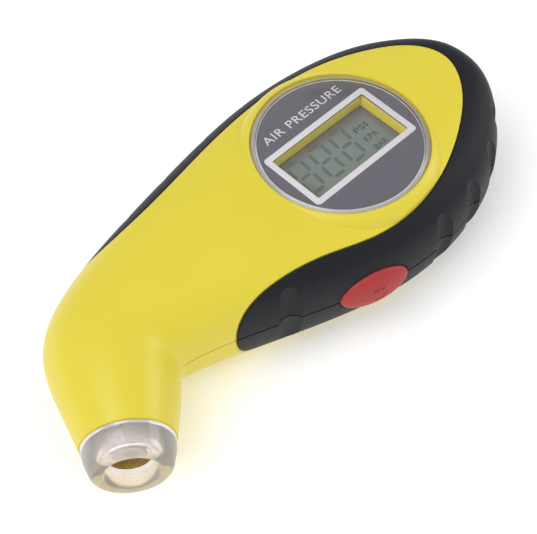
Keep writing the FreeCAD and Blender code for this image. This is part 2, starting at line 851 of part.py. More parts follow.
# open frame that holds the display, the backlight and the strips on the board
slack = size("display_clearance")
holder = doc.addObject("PartDesign::Body", "lcd_holder")
holder_x = size("lcd_length") / 2 + slack + size("holder_wall")
holder_y = size("lcd_width") / 2 + slack + size("holder_wall")
holder_outline = polygon_sketch(holder, "holder_outline", "XY_Plane", [
    (-holder_x, -holder_y), (holder_x, -holder_y), (holder_x, holder_y), (-holder_x, holder_y)])
pad(holder, holder_outline, "holder_pad",
    size("lcd_thickness") + size("backlight_thickness") - size("display_clearance"))
room_x = size("lcd_length") / 2 + slack
room_y = size("lcd_width") / 2 + slack
holder_room = polygon_sketch(holder, "holder_room", "XY_Plane", [
    (-room_x, -room_y), (room_x, -room_y), (room_x, room_y), (-room_x, room_y)])
pocket(holder, holder_room, "holder_room_cut")
keep("lcd_holder", holder, on_display(board_top))

# ---------------------------------------------------------------- circuit board

board = doc.addObject("PartDesign::Body", "main_board")
half_length = size("board_length") / 2
half_width = size("board_width") / 2
board_outline = polygon_sketch(board, "board_outline", "XY_Plane", [
    (-half_length, -half_width), (half_length, -half_width),
    (half_length, half_width), (-half_length, half_width)])
board_pad = pad(board, board_outline, "board_pad", size("board_thickness"))
doc.recompute()
corner_names = [f"Edge{index}" for index, edge in enumerate(board_pad.Shape.Edges, start=1)
                if abs(edge.tangentAt(edge.FirstParameter).z) > 0.9]
corners = board.newObject("PartDesign::Fillet", "board_corners")
corners.Base = (board_pad, corner_names)
bind(corners, "Radius", size("board_corner"))
board_holes = circle_sketch(board, "board_holes", "XY_Plane", [
    (x - mm("board_x"), y - mm("board_y"), size("board_screw_radius"))
    for x, y in BOARD_SCREWS])
pocket(board, board_holes, "board_screw_holes")
keep("main_board", board, at(mm("board_x"), mm("board_y"), number(board_foot)))

turned("controller_chip", [
    (0, 0), (size("chip_radius") * 0.7, 0), (size("chip_radius"), size("chip_height") * 0.7),
    (size("chip_radius"), size("chip_height")), (0, size("chip_height"))],
    at(0, 7, number(board_foot) - mm("chip_height")))


def screw_shape(x, y, head_low, shank_top, shank, head, head_height):
    """A pan-head screw that points up, with a cross recess in its head."""
    body = cylinder(head, head_height, x, y, head_low)
    body = body.fuse(cylinder(shank, shank_top - head_low - head_height, x, y,
                              head_low + head_height))
    slot = head * 1.2
    recess = [box(slot, head * 0.25, head_height, x, y, head_low - head_height / 2),
              box(head * 0.25, slot, head_height, x, y, head_low - head_height / 2)]
    return body.cut(recess)


head_height = mm("board_screw_head_height")
solid_piece("board_screws", Part.makeCompound([
    screw_shape(x, y, number(board_foot) - head_height,
                number(board_top) + mm("board_screw_bite"),
                mm("board_screw_radius"), mm("board_screw_head"), head_height)
    for x, y in BOARD_SCREWS]))
solid_piece("housing_screws", Part.makeCompound([
    screw_shape(x, y, screw_seat - mm("screw_head_height"), screw_tip,
                mm("screw_radius"), mm("screw_head_radius"), mm("screw_head_height"))
    for x, y in HOUSING_SCREWS]))

# ---------------------------------------------------------------- button and switch


def button_cap():
    """A domed oval key with a flange that keeps it in and a rib that meets the switch."""
    length = mm("button_length")
    height = mm("button_height")
    shoulder = -mm("button_dome_base")
    stem = oval(length, height, flange_back, shoulder, Placement())
    flange = oval(length + flange_margin, height + flange_margin, flange_back, flange_front,
                  Placement())
    stretch = Matrix()
    stretch.scale(length / 2, height / 2, mm("button_proud") - shoulder)
    dome = Part.makeSphere(1, Vector(), Vector(0, 0, 1), 0, 90, 360).transformGeometry(stretch)
    dome.translate(Vector(0, 0, shoulder))
    foot = plunger_tip + mm("plunger_clearance")
    bar = Part.makeBox(rib, switch_level + rib / 2, flange_back - foot + 0.5,
                       Vector(-rib / 2, 0, foot))
    return stem.fuse([flange, dome, bar]).removeSplitter()


solid_piece("button_cap", button_cap(), button_frame)

switch_place = button_frame * at(0, switch_level, switch_face)
switch_room = mm("button_travel") + 1.4
switch_box = box(mm("switch_width"), mm("switch_height"), mm("switch_depth"), 0, 0,
                 -mm("switch_depth"))
switch_bore = cylinder(mm("plunger_radius") + mm("plunger_clearance"), switch_room, 0, 0,
                       -switch_room)
solid_piece("tact_switch", switch_box.cut(switch_bore), switch_place)
plunger_out = plunger_tip - switch_face
turned("switch_plunger", [
    (0, 0), (size("plunger_radius"), 0), (size("plunger_radius"), plunger_out + 1.2),
    (0, plunger_out + 1.2)], switch_place * at(0, 0, -1.2))

# ---------------------------------------------------------------- coin cell, contacts and cap

turned("coin_cell", [
    (0, 0), (size("cell_radius") - 0.4, 0), (size("cell_radius"), 0.4),
    (size("cell_radius"), size("cell_height") - 0.5),
    (size("cell_radius") - 0.9, size("cell_height") - 0.5),
    (size("cell_radius") - 1.1, size("cell_height")), (0, size("cell_height"))],
    at(0, 0, cell_foot))

thin = mm("contact_thickness")
leg_top = number(board_foot)
minus_leaf = box(2 * MINUS_LEG_X, CONTACT_WIDTH, thin, 0, 0, cell_top)
minus_leg = box(thin, CONTACT_WIDTH, leg_top - cell_top, MINUS_LEG_X - thin / 2, 0, cell_top)
solid_piece("minus_contact", minus_leaf.fuse(minus_leg).removeSplitter())
plus_foot = groove_top + 0.2
solid_piece("plus_contact", box(thin, CONTACT_WIDTH, leg_top - plus_foot,
                                plus_plate_x() - thin / 2, 0, plus_foot))


def battery_cap():
    """A round bayonet cap turned by a coin: plate, ring, three tabs and a coin slot."""
    radius = mm("cap_radius")
    plate = cylinder(radius, cap_inside - cap_face, 0, 0, cap_face)
    plate = plate.makeChamfer(0.3, [edge for edge in plate.Edges
                                    if edge.BoundBox.ZMax < cap_face + 0.01])
    ring = cylinder(radius, tab_top - cap_inside, 0, 0, cap_inside)
    tabs = [sector(radius + mm("cap_tab"), mm("cap_tab_angle"), angle,
                   tab_top - mm("cap_tab_height"), mm("cap_tab_height")) for angle in TAB_ANGLES]
    whole = plate.fuse([ring] + tabs)
    room = cylinder(mm("cell_radius") + mm("cell_clearance"), REACH, 0, 0, cap_inside)
    slot = box(mm("coin_slot_length"), mm("coin_slot_width"), mm("coin_slot_depth"),
               0, 0, cap_face)
    slot = slot.makeFillet(mm("coin_slot_width") / 2 - 0.05, upright_edges(slot))
    return whole.cut([room, slot]).removeSplitter()


solid_piece("battery_cap", battery_cap())

# ---------------------------------------------------------------- nozzle

# distances along the nozzle's axis from the end face of the housing, outwards
lip_front = size("nozzle_cap_length") - size("mouth_depth")
lip_back = lip_front - 0.6
seal_front = lip_front - size("stem_bore_length")
seal_dish = seal_front - size("seal_lip")
seal_back = seal_dish - size("seal_thickness")
disc_back = seal_back - size("depressor_disc")
sleeve_back = seal_back - size("sleeve_tail")
barb_back = sleeve_back - size("barb_length")
flange_rear = -size("flange_back")
flange_fore = -size("flange_front")
disc_radius = size("barb_radius") * 2
tip_step = (size("nozzle_radius") - size("nozzle_cap_tip_radius")) / 2

turned("nozzle_cap", [
    (size("sleeve_radius"), flange_rear),
    (size("nozzle_cap_flange") - 0.1, flange_rear), (size("nozzle_cap_flange") - 0.1, flange_fore),
    (size("nozzle_cap_neck") - 0.05, flange_fore), (size("nozzle_cap_neck") - 0.05, 0.05),
    (size("nozzle_radius") - 0.2, 0.05), (size("nozzle_radius") - 0.25, 1.2),
    (size("nozzle_cap_tip_radius") + tip_step, size("nozzle_cap_length") - 1.7),
    (size("nozzle_cap_tip_radius") + 0.3, size("nozzle_cap_length") - 0.6),
    (size("nozzle_cap_tip_radius") - 0.5, size("nozzle_cap_length")),
    (size("mouth_radius") + 0.4, size("nozzle_cap_length")),
    (size("mouth_radius"), size("nozzle_cap_length") - 0.4),
    (size("stem_bore_radius") + 0.3, lip_front), (size("stem_bore_radius"), lip_front - 0.2),
    (size("stem_bore_radius"), lip_back), (size("sleeve_radius"), lip_back)], nozzle_place())

turned("valve_sleeve", [
    (size("air_hole_radius"), barb_back), (size("barb_radius"), barb_back),
    (size("barb_radius"), sleeve_back), (size("sleeve_radius"), sleeve_back),
    (size("sleeve_radius"), lip_back), (size("stem_bore_radius"), lip_back),
    (size("stem_bore_radius"), seal_front), (size("seal_radius"), seal_front),
    (size("seal_radius"), seal_back), (disc_radius, seal_back),
    (disc_radius, disc_back), (size("air_hole_radius"), disc_back)],
    nozzle_place())

turned("valve_seal", [
    (size("seal_hole_radius"), seal_back), (size("seal_radius"), seal_back),
    (size("seal_radius"), seal_front), (size("stem_bore_radius") - 0.7, seal_front),
    (size("stem_bore_radius") - 1.5, seal_dish), (size("seal_hole_radius"), seal_dish)],
    nozzle_place())

# fixed pin that opens the valve core, standing on a disc with three air holes
pin = doc.addObject("PartDesign::Body", "depressor_pin")
pin_profile = polygon_sketch(pin, "pin_profile", "XZ_Plane", [
    (0, disc_back), (disc_radius, disc_back),
    (disc_radius, seal_back), (size("depressor_radius"), seal_back),
    (size("depressor_radius"), seal_front - 0.4), (size("depressor_radius") * 0.6, seal_front - 0.1),
    (0, seal_front - 0.1)])
pin_turn = pin.newObject("PartDesign::Revolution", "pin_turn")
pin_turn.Profile = pin_profile
pin_turn.ReferenceAxis = (pin_profile, ["V_Axis"])
pin_turn.Angle = 360
air_outline = circle_sketch(pin, "air_hole", "XY_Plane", [
    (size("barb_radius") * 1.35, 0, size("air_hole_radius") * 0.8)])
air_cut = pocket(pin, air_outline, "air_hole_cut")
air_ring = pin.newObject("PartDesign::PolarPattern", "air_holes")
air_ring.Originals = [air_cut]
air_ring.Axis = (air_outline, ["N_Axis"])
air_ring.Angle = 360
air_ring.Occurrences = 3
pin.Tip = air_ring
keep("depressor_pin", pin, nozzle_place())

led_place = nozzle_place(-mm("led_back"), mm("led_offset"))
led_collar = 0.6
led_height = mm("led_back") - mm("flange_back") - NOZZLE_FIT
led_body = cylinder(mm("led_radius"), led_height - mm("led_radius"), 0, 0, 0)
led_dome = Part.makeSphere(mm("led_radius"), Vector(0, 0, led_height - mm("led_radius")))
led_rim = cylinder(mm("led_radius") + 0.15, led_collar, 0, 0, 0)
solid_piece("nozzle_led", led_body.fuse([led_dome, led_rim]).removeSplitter(), led_place)

# ---------------------------------------------------------------- air line, sensor and leads


def route(points):
    """Straight runs joined by tangent arcs, each as large as its two runs allow."""
    edges = []
    start = points[0]
    for before, corner, after in zip(points, points[1:], points[2:]):
        back = before - corner
        ahead = after - corner
        shorter = min(back.Length, ahead.Length)
        reach = 0.45 * shorter
        first = corner + back.normalize() * reach
        last = corner + ahead.normalize() * reach
        middle_way = (back + ahead).normalize()
        half_turn = (math.pi - back.getAngle(ahead)) / 2
        radius = reach / math.tan(half_turn)
        middle = corner + middle_way * (radius / math.cos(half_turn) - radius)
        edges.append(Part.makeLine(start, first))
        edges.append(Part.Arc(first, middle, last).toShape())
        start = last
    edges.append(Part.makeLine(start, points[-1]))
    return Part.Wire(edges)


def rod(path, radius):
    """A round solid along a route."""
    first = path.Edges[0]
    start = first.valueAt(first.FirstParameter)
    heading = first.tangentAt(first.FirstParameter)
    ring = Part.Wire(Part.Circle(start, heading, radius).toShape())
    return path.makePipeShell([ring], True, False)


sensor_x = mm("board_x") - 16.0
sensor_y = 3.0
sensor_level = number(board_foot) - mm("sensor_height") / 2
sensor_face = sensor_x - mm("sensor_size") / 2
nipple_length = mm("sensor_nipple")
can = box(mm("sensor_size"), mm("sensor_size"), mm("sensor_height"), sensor_x, sensor_y,
          number(board_foot) - mm("sensor_height"))
nipple = Part.makeCylinder(mm("barb_radius"), nipple_length,
                           Vector(sensor_face, sensor_y, sensor_level), Vector(-1, 0, 0))
nipple_hole = Part.makeCylinder(mm("air_hole_radius"), nipple_length + 1,
                                Vector(sensor_face + 1, sensor_y, sensor_level), Vector(-1, 0, 0))
solid_piece("pressure_sensor", can.fuse(nipple).cut(nipple_hole))

tube_start = nozzle_place(number(sleeve_back) - 0.2).Base
tube_turn = nozzle_place(number(sleeve_back) - 10.2).Base
tube_end = Vector(sensor_face - 0.2, sensor_y, sensor_level)
tube_path = route([tube_start, tube_turn, tube_end - Vector(12, 0, 0), tube_end])
air_tube = rod(tube_path, mm("tube_radius")).cut(rod(tube_path, mm("barb_radius")))
solid_piece("air_tube", air_tube)

board_edge = mm("board_x") - mm("board_length") / 2
lead_level = number(board_foot) + mm("board_thickness") / 2
leads = []
for offset in (-0.7, 0.7):
    sideways = led_place.Rotation.multVec(Vector(-offset, 0, 0))
    lead_start = led_place.Base + sideways
    lead_turn = lead_start + nozzle_direction() * -9.0
    lead_middle = Vector(-46.0, 6.4 + offset, lead_start.z)
    lead_end = Vector(board_edge, 7.4 + offset, lead_level)
    lead_path = route([lead_start, lead_turn, lead_middle, lead_end - Vector(8, 0, 0), lead_end])
    leads.append(rod(lead_path, mm("lead_radius")))
solid_piece("led_leads", Part.makeCompound(leads))

# ---------------------------------------------------------------- finish

doc.recompute()
for item in doc.Objects:
    faults = [state for state in item.State if state in ("Invalid", "Error")]
    if faults:
        raise RuntimeError(f"{item.Label} failed to build: {faults}")
for name, item in pieces.items():
    if item.Shape.isNull() or not item.Shape.isValid():
        raise RuntimeError(f"{name} has no valid shape")

# the origin goes under the middle of the whole object, on the surface that it rests on
whole = Part.makeCompound([item.Shape for item in pieces.values()])
extent = whole.optimalBoundingBox(False, False)
to_base = Placement(Vector(-(extent.XMin + extent.XMax) / 2, -(extent.YMin + extent.YMax) / 2,
                           -extent.ZMin), Rotation())
os.makedirs("parts", exist_ok=True)
for name, item in pieces.items():
    item.Placement = to_base * item.Placement
doc.recompute()
for name, item in pieces.items():
    item.Shape.exportStep(f"parts/{name}.step")
print("pieces", len(pieces), "moved by", to_base.Base)
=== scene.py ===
import json
import math

import bmesh
import bpy
from mathutils import Matrix, Vector


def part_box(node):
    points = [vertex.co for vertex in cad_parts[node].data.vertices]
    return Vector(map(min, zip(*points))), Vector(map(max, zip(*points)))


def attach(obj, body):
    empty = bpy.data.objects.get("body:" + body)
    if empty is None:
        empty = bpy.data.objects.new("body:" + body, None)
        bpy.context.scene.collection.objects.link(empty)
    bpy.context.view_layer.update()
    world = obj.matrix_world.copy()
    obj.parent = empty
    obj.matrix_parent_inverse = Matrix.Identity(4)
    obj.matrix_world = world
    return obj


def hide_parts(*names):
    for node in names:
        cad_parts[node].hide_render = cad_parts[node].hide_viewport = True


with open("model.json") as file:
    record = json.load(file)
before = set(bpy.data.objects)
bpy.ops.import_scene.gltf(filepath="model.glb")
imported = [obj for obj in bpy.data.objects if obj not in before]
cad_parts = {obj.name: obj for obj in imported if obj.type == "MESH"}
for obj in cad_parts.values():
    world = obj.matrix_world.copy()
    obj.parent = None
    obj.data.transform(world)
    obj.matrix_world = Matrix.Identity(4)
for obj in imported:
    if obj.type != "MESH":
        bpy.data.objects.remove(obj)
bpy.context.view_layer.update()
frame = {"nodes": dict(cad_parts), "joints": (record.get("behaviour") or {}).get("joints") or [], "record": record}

nodes = frame["nodes"]
MM = 0.001

# ---------------------------------------------------------------- place of the gauge
# The round display is the gauge's centre: its axis stands upright, and the lens lies almost
# flush with the crown of the front shell.

dial_low, dial_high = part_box("dial_plate")
axis_x = (dial_low.x + dial_high.x) / 2
axis_y = (dial_low.y + dial_high.y) / 2
lens_low, lens_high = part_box("lens")
lens_radius = (lens_high.x - lens_low.x) / 2

# ---------------------------------------------------------------- camera
# A view of the gauge lying on its back, from the nozzle's side and well above the table. The
# camera looks a little past the lens, so that the whole gauge stands in the middle.

azimuth = math.radians(-45.5)
elevation = math.radians(53.9)
roll = math.radians(0.9)
distance = 350 * MM
aside = 14.5 * MM
below = 25.13 * MM
aim_depth = 0.1 * MM


def frame_at(place, x_way, y_way, z_way):
    """A frame at a place, given its three axes."""
    return Matrix.Translation(place) @ Matrix((x_way, y_way, z_way)).transposed().to_4x4()


back = Vector((math.sin(azimuth) * math.cos(elevation),
               -math.cos(azimuth) * math.cos(elevation), math.sin(elevation)))
level = Vector((math.cos(azimuth), math.sin(azimuth), 0))
upright = back.cross(level)
side = level * math.cos(roll) + upright * math.sin(roll)
over = upright * math.cos(roll) - level * math.sin(roll)
aim = Vector((axis_x, axis_y, lens_high.z - aim_depth))

camera = bpy.data.objects.new("camera", bpy.data.cameras.new("camera"))
bpy.context.scene.collection.objects.link(camera)
camera.data.sensor_width = 36
camera.data.lens = 116.5
camera.data.clip_start = 10 * MM
camera.matrix_world = frame_at(aim + back * distance - side * aside - over * below,
                               side, over, back)
bpy.context.scene.camera = camera

# ---------------------------------------------------------------- light
# A white tent with one large lamp above the far side and a smaller one low at the right, so
# that the mouldings show broad soft highlights and almost no shadow.

world = bpy.data.worlds.new("tent")
world.use_nodes = True
world.node_tree.nodes["Background"].inputs["Color"].default_value = (1.0, 1.0, 1.0, 1)
world.node_tree.nodes["Background"].inputs["Strength"].default_value = 0.52
bpy.context.scene.world = world
bpy.context.scene.view_settings.view_transform = "Standard"


def lamp(name, place, target, width, power):
    """A square lamp that faces its target."""
    data = bpy.data.lights.new(name, "AREA")
    data.shape = "SQUARE"
    data.size = width
    data.energy = power
    item = bpy.data.objects.new(name, data)
    bpy.context.scene.collection.objects.link(item)
    aimed = (target - place).to_track_quat("-Z", "Y").to_matrix().to_4x4()
    item.matrix_world = Matrix.Translation(place) @ aimed


centre = Vector((0, 0, 13 * MM))
lamp("top_lamp", centre + Vector((-0.40, 0.05, 0.70)), centre, 0.6, 3.2)
lamp("side_lamp", centre + Vector((0.55, -0.25, 0.30)), centre, 0.3, 0.9)

# ---------------------------------------------------------------- table top
# A sheet of matte white paper, lit a little from beneath so that the shadows on it stay faint.
# Its finish, like every other one here, is a small node network on the piece's own place.


class Value:
    """A shader socket that takes part in sums: value * 2 + 1 adds the Math nodes for it."""

    def __init__(self, finish, socket):
        self.finish = finish
        self.socket = socket

    def maths(self, operation, first, second=0.0):
        return self.finish.add("ShaderNodeMath", {"operation": operation}, {0: first, 1: second})

    def __add__(self, other):
        return self.maths("ADD", self, other)

    def __sub__(self, other):
        return self.maths("SUBTRACT", self, other)

    def __rsub__(self, other):
        return self.maths("SUBTRACT", other, self)

    def __mul__(self, other):
        return self.maths("MULTIPLY", self, other)

    def __abs__(self):
        return self.maths("ABSOLUTE", self)

    def least(self, other):
        return self.maths("MINIMUM", self, other)

    def root(self):
        return self.maths("SQRT", self)

    __radd__ = __add__
    __rmul__ = __mul__


class Finish:
    """A material put together one node at a time round its Principled shader."""

    def __init__(self, name, **constants):
        self.material = bpy.data.materials.new(name)
        self.material.use_nodes = True
        self.tree = self.material.node_tree
        self.shader = self.tree.nodes["Principled BSDF"]
        for socket, value in constants.items():
            self.shader.inputs[socket.replace("_", " ")].default_value = value
        self.place = self.add("ShaderNodeTexCoord", out="Object")

    def add(self, kind, settings=None, sockets=None, out=0):
        """One node: its settings first, then the values or links of its sockets."""
        node = self.tree.nodes.new(kind)
        for name, value in (settings or {}).items():
            setattr(node, name, value)
        for key, value in (sockets or {}).items():
            if isinstance(value, Value):
                self.tree.links.new(value.socket, node.inputs[key])
            else:
                node.inputs[key].default_value = value
        return Value(self, node.outputs[out])

    def drive(self, **links):
        """Link values to the shader's own sockets."""
        for socket, value in links.items():
            self.tree.links.new(value.socket, self.shader.inputs[socket.replace("_", " ")])
        return self

    def noise(self, grain, detail=2.0, place=None):
        """Noise whose grain is a size in metres."""
        return self.add("ShaderNodeTexNoise", {"noise_dimensions": "3D"},
                        {"Vector": place or self.place, "Scale": 1 / grain, "Detail": detail})

    def between(self, value, low, high):
        """0 below low, 1 above high, and smooth between them."""
        return self.add("ShaderNodeMapRange", {"interpolation_type": "SMOOTHSTEP"},
                        {"Value": value, "From Min": low, "From Max": high})

    def part(self, axis):
        """One coordinate of the place."""
        return self.add("ShaderNodeSeparateXYZ", None, {0: self.place}, out=axis)

    def blend(self, amount, first, second):
        """A colour between two others."""
        return self.add("ShaderNodeMix", {"data_type": "RGBA"},
                        {0: amount, 6: first, 7: second}, out=2)

    def bump(self, height, depth, strength, normal=None):
        """Normals of a relief of the given depth, on top of others."""
        sockets = {"Height": height, "Distance": depth, "Strength": strength}
        if normal is not None:
            sockets["Normal"] = normal
        return self.add("ShaderNodeBump", None, sockets)

    def soft_edges(self, radius):
        """Normals that round off hard moulded edges."""
        return self.add("ShaderNodeBevel", {"samples": 6}, {"Radius": radius})


def paint(piece, finish):
    """Give one finish to a whole piece."""
    piece.data.materials.clear()
    piece.data.materials.append(finish.material)


def grey(value):
    """A neutral colour."""
    return (value, value, value, 1)


bpy.ops.object.select_all(action="DESELECT")
bpy.ops.mesh.primitive_plane_add(size=6)
table_top = bpy.context.object
table_top.name = "table_top"
paper = Finish("white_paper", Roughness=0.9, Emission_Color=(1, 1, 1, 1), Emission_Strength=0.28)
paper.drive(Base_Color=paper.blend(paper.noise(2 * MM), grey(0.90), grey(0.93)))
paint(table_top, paper)

# ---------------------------------------------------------------- yellow shells
# Two half shells moulded in satin yellow plastic, screwed together from behind. They meet in a
# fine line round the middle, and the front shell is open over the display.

part_line = (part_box("front_housing")[0].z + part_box("rear_housing")[1].z) / 2


def yellow_plastic():
    """Satin plastic with a fine grain, and the groove where the two shells meet, its line darkened with painted
    shade.
    """
    shell = Finish("yellow_plastic", IOR=1.48, Specular_IOR_Level=0.45)
    cloud = shell.noise(18 * MM, 1.0)
    speck = shell.noise(0.5 * MM, 3.0)
    seam_groove_and_shade = 1 - shell.between(abs(shell.part("Z") - part_line), 0.03 * MM, 0.12 * MM)
    colour = shell.blend(cloud, (0.80, 0.665, 0.048, 1), (0.835, 0.705, 0.060, 1))
    # painted shade: the line where the shells meet is darkened a quarter of the way to shaded yellow
    colour = shell.blend(seam_groove_and_shade * 0.25, colour, (0.40, 0.30, 0.02, 1))
    grain = shell.bump(speck, 0.02 * MM, 0.35, shell.soft_edges(0.45 * MM))
    groove = shell.bump(1 - seam_groove_and_shade, 0.08 * MM, 0.8, grain)
    return shell.drive(Base_Color=colour, Roughness=0.30 + 0.10 * shell.noise(1.2 * MM),
                       Normal=groove)


shells = yellow_plastic()
for name in ("front_housing", "rear_housing"):
    paint(nodes[name], shells)

# ---------------------------------------------------------------- soft grips
# Dark soft skins moulded over the edges of both shells. Leaf-shaped flutes give the fingers a
# hold, and the fine spark texture of the mould keeps the surface matte.


def grip_rubber():
    """Matte soft plastic, a little lighter and greener below the parting line."""
    skin = Finish("grip_rubber", IOR=1.5, Specular_IOR_Level=0.26)
    low = skin.between(skin.part("Z"), part_line - 1 * MM, part_line + 1 * MM)
    colour = skin.blend(low, (0.016, 0.019, 0.019, 1), (0.0085, 0.0100, 0.0135, 1))
    colour = skin.blend(skin.between(skin.noise(0.35 * MM), 0.45, 0.75) * 0.25, colour,
                        (0.030, 0.032, 0.038, 1))
    grain = skin.bump(skin.noise(0.22 * MM, 3.0), 0.03 * MM, 0.45, skin.soft_edges(0.35 * MM))
    return skin.drive(Base_Color=colour, Roughness=0.46 + 0.14 * skin.noise(0.8 * MM),
                      Normal=grain)


grips = grip_rubber()
for name in ("front_grip", "rear_grip"):
    paint(nodes[name], grips)

# ---------------------------------------------------------------- dial and its print
# A dark grey foil glued to the pedestal round the display. A pale border, the display's frame
# and the lettering are screen printed on it, and stand just proud of it under the lens.

dial_radius = (dial_high.x - dial_low.x) / 2
dial_top = dial_high.z


def begin(name):
    """Name the new primitive and put its place and size into its mesh."""
    item = bpy.context.object
    item.name = name
    bpy.ops.object.transform_apply(location=True, rotation=True, scale=True)
    return item


def pick(item, kind, test):
    """Go into edit mode with only those faces, edges or corners selected that pass a test."""
    bpy.ops.object.mode_set(mode="EDIT")
    bpy.ops.mesh.select_mode(type=kind)
    bpy.ops.mesh.select_all(action="DESELECT")
    mesh = bmesh.from_edit_mesh(item.data)
    for part in {"FACE": mesh.faces, "EDGE": mesh.edges, "VERT": mesh.verts}[kind]:
        if test(part):
            part.select_set(True)
    mesh.select_flush_mode()
    bmesh.update_edit_mesh(item.data)


def settle(item, body="housing", *, angle=30):
    """Close an edit, smooth the piece, and let it ride on its body."""
    if bpy.context.mode != "OBJECT":
        bpy.ops.object.mode_set(mode="OBJECT")
    bpy.ops.object.select_all(action="DESELECT")
    item.select_set(True)
    bpy.context.view_layer.objects.active = item
    bpy.ops.object.shade_smooth_by_angle(angle=math.radians(angle))
    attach(item, body)
    return item


def thicken(item, thickness):
    """Give a flat piece its thickness, downwards from its face."""
    bpy.ops.object.mode_set(mode="OBJECT")
    wall = item.modifiers.new("thickness", "SOLIDIFY")
    wall.thickness = thickness
    wall.offset = -1
    bpy.ops.object.modifier_apply(modifier=wall.name)


foil = Finish("dial_foil", IOR=1.45, Specular_IOR_Level=0.35)
foil_weave = foil.noise(0.12 * MM, 3.0)
foil.drive(Base_Color=foil.blend(foil_weave, (0.088, 0.084, 0.106, 1), (0.112, 0.107, 0.132, 1)),
           Roughness=0.42 + 0.12 * foil.noise(3 * MM),
           Normal=foil.bump(foil_weave, 0.01 * MM, 0.4))
paint(nodes["dial_plate"], foil)

ink = Finish("pale_ink", Specular_IOR_Level=0.4)
ink_grain = ink.noise(0.15 * MM, 2.0)
ink.drive(Base_Color=ink.blend(ink_grain, (0.59, 0.575, 0.60, 1), (0.68, 0.665, 0.685, 1)),
          Roughness=0.40 + 0.2 * ink_grain, Normal=ink.bump(ink_grain, 0.01 * MM, 0.3))

print_top = dial_top + 0.06 * MM
print_thickness = 0.05 * MM
window_low, window_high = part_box("backlight_panel")
window_centre = Vector(((window_low.x + window_high.x) / 2, (window_low.y + window_high.y) / 2, 0))
window_length = 25.9 * MM
window_width = 12.9 * MM
frame_line = 1.4 * MM
frame_corner = 0.9 * MM
frame_inside_corner = 0.3 * MM
border_line = 0.13 * MM
print_margin = 0.05 * MM

bpy.ops.object.select_all(action="DESELECT")
bpy.ops.mesh.primitive_plane_add(size=1, location=(window_centre.x, window_centre.y, print_top))
bpy.context.object.scale = (window_length + 2 * frame_line, window_width + 2 * frame_line, 1)
window_frame = begin("window_frame")
pick(window_frame, "FACE", lambda face: True)
bpy.ops.mesh.inset(thickness=frame_line - print_margin)
bpy.ops.mesh.delete(type="FACE")
outside = window_length / 2 + frame_line / 2
pick(window_frame, "VERT", lambda v: abs(v.co.x - window_centre.x) > outside)
bpy.ops.mesh.bevel(offset=frame_corner, segments=4, affect="VERTICES")
pick(window_frame, "VERT", lambda v: abs(v.co.x - window_centre.x) < outside - frame_line / 4
     and abs(v.co.y - window_centre.y) < window_width / 2 + frame_line / 2)
bpy.ops.mesh.bevel(offset=frame_inside_corner, segments=3, affect="VERTICES")
thicken(window_frame, print_thickness)
paint(settle(window_frame), ink)

bpy.ops.object.select_all(action="DESELECT")
bpy.ops.mesh.primitive_circle_add(vertices=180, radius=dial_radius - 2 * print_margin,
                                  fill_type="NGON", location=(axis_x, axis_y, print_top))
dial_border = begin("dial_border")
pick(dial_border, "FACE", lambda face: True)
bpy.ops.mesh.inset(thickness=border_line)
bpy.ops.mesh.delete(type="FACE")
thicken(dial_border, print_thickness)
paint(settle(dial_border), ink)


def lettering(name, words, centre, width, height, thickness, turn=Matrix(), weight=0.0):
    """Flat letters as a mesh of a given width and height, centred on a place."""
    bpy.ops.object.select_all(action="DESELECT")
    bpy.ops.object.text_add()
    item = bpy.context.object
    item.name = name
    item.data.body = words
    item.data.space_character = 1.08
    item.data.extrude = 0.5
    item.data.offset = weight
    item.data.resolution_u = 4
    bpy.ops.object.convert(target="MESH")
    corners = [v.co for v in item.data.vertices]
    low = Vector([min(c[i] for c in corners) for i in range(3)])
    high = Vector([max(c[i] for c in corners) for i in range(3)])
    size = high - low
    fit = Matrix.Diagonal((width / size.x, height / size.y, thickness / size.z, 1))
    item.data.transform(Matrix.Translation(centre) @ turn @ fit
                        @ Matrix.Translation(-(low + high) / 2))
    return item


title_aside = -0.25 * MM
title_above = 10.7 * MM
title_length = 21.6 * MM
title_height = 2.0 * MM
title = lettering("dial_lettering", "AIR PRESSURE",
                  Vector((axis_x + title_aside, axis_y + title_above,
                          print_top - print_thickness / 2)),
                  title_length, title_height, print_thickness)
paint(settle(title), ink)

# ---------------------------------------------------------------- display glass
# A liquid-crystal panel lies under the dial's window. The unpowered segments of its three
# digits and its three units show as faint darker shapes under the polariser.

lcd_low, lcd_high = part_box("lcd_panel")
lcd_top = lcd_high.z
lcd = Finish("display_glass", IOR=1.5, Specular_IOR_Level=0.35)
# painted shadow: near the far, left and right walls of the window the panel is darkened, as if they shade it
from_far = (window_centre.y + window_width / 2) - lcd.part("Y")
from_left = lcd.part("X") - (window_centre.x - window_length / 2)
from_right = (window_centre.x + window_length / 2) - lcd.part("X")
painted_wall_shadow_distance = from_far.least((from_left * 1.3).least(from_right * 1.6))
film = lcd.blend(lcd.noise(4 * MM, 1.0), (0.150, 0.185, 0.173, 1), (0.178, 0.216, 0.200, 1))
# brownish grey painted shadow colour of the walls, fading into the film within a few millimetres
lcd.drive(Base_Color=lcd.blend(lcd.between(painted_wall_shadow_distance, 0.4 * MM, 3.6 * MM),
                               (0.135, 0.122, 0.120, 1), film),
          Roughness=0.30 + 0.1 * lcd.noise(0.3 * MM))
paint(nodes["lcd_panel"], lcd)

ghost = Finish("faint_segment", IOR=1.5, Specular_IOR_Level=0.3)
ghost.drive(Base_Color=ghost.blend(ghost.noise(0.8 * MM, 1.0), (0.086, 0.105, 0.098, 1),
                                   (0.112, 0.134, 0.124, 1)),
            Roughness=0.35 + 0.1 * ghost.noise(0.3 * MM))

dark_ghost = Finish("clear_segment", IOR=1.5, Specular_IOR_Level=0.3)
dark_ghost.drive(Base_Color=dark_ghost.blend(dark_ghost.noise(0.8 * MM, 1.0),
                                             (0.045, 0.058, 0.054, 1), (0.066, 0.082, 0.076, 1)),
                 Roughness=0.35 + 0.1 * dark_ghost.noise(0.3 * MM))

